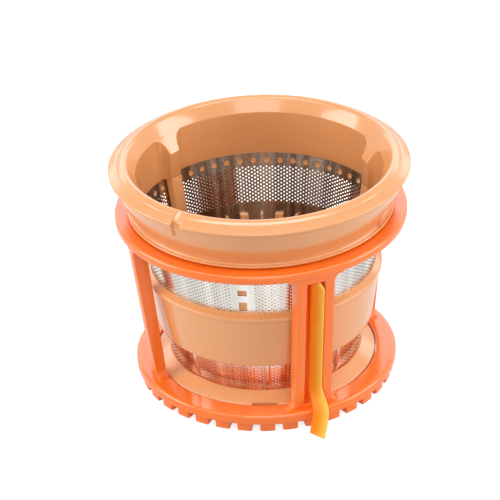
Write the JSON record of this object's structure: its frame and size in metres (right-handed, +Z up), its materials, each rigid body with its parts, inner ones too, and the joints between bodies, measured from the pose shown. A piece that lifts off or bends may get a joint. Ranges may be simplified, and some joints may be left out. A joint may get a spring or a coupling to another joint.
{
  "type": "juicer mesh screen",
  "caption": "Conical steel juicer screen in a moulded funnel frame with an inner rib set, turning inside a toothed wiper cage with slotted posts and flexible wiper blades.",
  "frame": {"origin": "on the upright axis of the screen, level with the tips of the cage's teeth", "axes": "+Z up towards the rim; -Y through the middle of the front window, with a plain bar to its left and a wiper post to its right, the other bar and post lying opposite"},
  "size_m": [0.112, 0.112, 0.0901],
  "materials": {
    "frame_plastic": "smooth beige moulding",
    "sieve_steel": "bright perforated sheet",
    "cage_plastic": "satin orange moulding",
    "wiper_silicone": "translucent orange silicone"
  },
  "bodies": {
    "strainer": {"strainer_frame": "frame_plastic", "mesh_sleeve": "sieve_steel"},
    "brush": {"brush_cage": "cage_plastic", "wiper_front": "wiper_silicone", "wiper_back": "wiper_silicone"}
  },
  "joints": [
    {"name": "brush_spin", "type": "hinge", "parent": "strainer", "child": "brush", "pos_m": [0, 0, 0], "axis": [0, 0, 1], "continuous": true}
  ]
}
